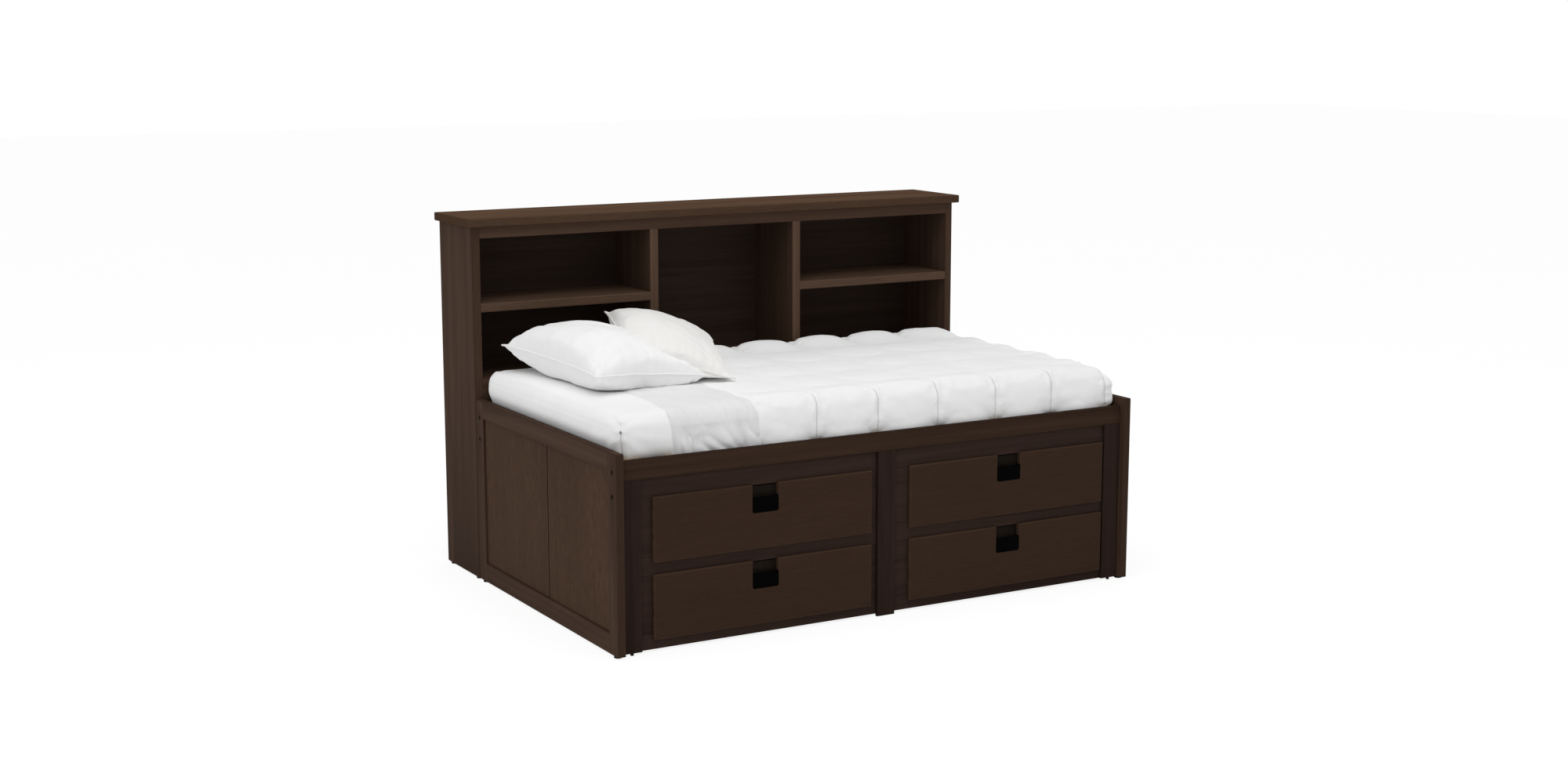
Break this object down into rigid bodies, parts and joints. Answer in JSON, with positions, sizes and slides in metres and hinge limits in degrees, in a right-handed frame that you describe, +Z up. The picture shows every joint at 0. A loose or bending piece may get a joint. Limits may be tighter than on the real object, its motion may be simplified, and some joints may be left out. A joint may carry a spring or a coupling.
{
  "type": "bookcase daybed with drawers",
  "caption": "Twin bed with an open bookcase along one long side, panel ends and two chests of notched drawers under the mattress",
  "frame": {"origin": "on the floor at the middle of the footprint", "axes": "+X along the bed towards the foot end, +Y from the open front to the bookcase, +Z up"},
  "size_m": [2.031, 1.424, 1.278],
  "materials": {
    "stained_wood": "dark espresso stain under satin lacquer",
    "carcass_board": "dark melamine board",
    "slat_wood": "planed pine",
    "slide_steel": "powder coated",
    "bolt_steel": "black oxide",
    "black_plastic": "moulded",
    "white_cotton": "plain woven cotton",
    "grey_cotton": "plain woven cotton",
    "cream_cotton": "plain woven cotton"
  },
  "bodies": {
    "bed": {"bookcase_back_lower": "stained_wood", "bookcase_back_upper": "stained_wood", "bookcase_bay_floor": "stained_wood", "bookcase_divider_left": "stained_wood", "bookcase_divider_right": "stained_wood", "bookcase_rear_stiles": "stained_wood", "bookcase_shelves": "stained_wood", "bookcase_side_left": "stained_wood", "bookcase_side_right": "stained_wood", "bookcase_sill_rail": "stained_wood", "bookcase_top": "stained_wood", "bookcase_top_rail": "stained_wood", "centre_post": "stained_wood", "corner_posts": "stained_wood", "end_left_boards": "stained_wood", "end_left_front_stile": "stained_wood", "end_left_rails": "stained_wood", "end_left_rear_stile": "stained_wood", "end_right_boards": "stained_wood", "end_right_front_stile": "stained_wood", "end_right_rails": "stained_wood", "end_right_rear_stile": "stained_wood", "front_rail": "stained_wood", "chest_left_face_frame": "stained_wood", "chest_left_back": "carcass_board", "chest_left_sides": "carcass_board", "chest_left_top": "carcass_board", "chest_left_slides": "slide_steel", "chest_right_face_frame": "stained_wood", "chest_right_back": "carcass_board", "chest_right_sides": "carcass_board", "chest_right_top": "carcass_board", "chest_right_slides": "slide_steel", "rear_rail": "stained_wood", "slat_ledgers": "slat_wood", "slats": "slat_wood", "case_dowels": "slat_wood", "bed_bolts": "bolt_steel", "glides": "black_plastic", "mattress": "white_cotton", "duvet": "white_cotton", "turned_sheet": "grey_cotton", "pillow_front": "white_cotton", "pillow_rear": "cream_cotton"},
    "drawer_left_lower": {"drawer_left_lower_front": "stained_wood", "drawer_left_lower_pull": "black_plastic", "drawer_left_lower_box": "carcass_board", "drawer_left_lower_slides": "slide_steel"},
    "drawer_left_upper": {"drawer_left_upper_front": "stained_wood", "drawer_left_upper_pull": "black_plastic", "drawer_left_upper_box": "carcass_board", "drawer_left_upper_slides": "slide_steel"},
    "drawer_right_lower": {"drawer_right_lower_front": "stained_wood", "drawer_right_lower_pull": "black_plastic", "drawer_right_lower_box": "carcass_board", "drawer_right_lower_slides": "slide_steel"},
    "drawer_right_upper": {"drawer_right_upper_front": "stained_wood", "drawer_right_upper_pull": "black_plastic", "drawer_right_upper_box": "carcass_board", "drawer_right_upper_slides": "slide_steel"}
  },
  "joints": [
    {"name": "drawer_left_lower_slide", "type": "slide", "parent": "bed", "child": "drawer_left_lower", "axis": [0, -1, 0], "range_m": [0, 0.3]},
    {"name": "drawer_left_upper_slide", "type": "slide", "parent": "bed", "child": "drawer_left_upper", "axis": [0, -1, 0], "range_m": [0, 0.3]},
    {"name": "drawer_right_lower_slide", "type": "slide", "parent": "bed", "child": "drawer_right_lower", "axis": [0, -1, 0], "range_m": [0, 0.3]},
    {"name": "drawer_right_upper_slide", "type": "slide", "parent": "bed", "child": "drawer_right_upper", "axis": [0, -1, 0], "range_m": [0, 0.3]}
  ]
}
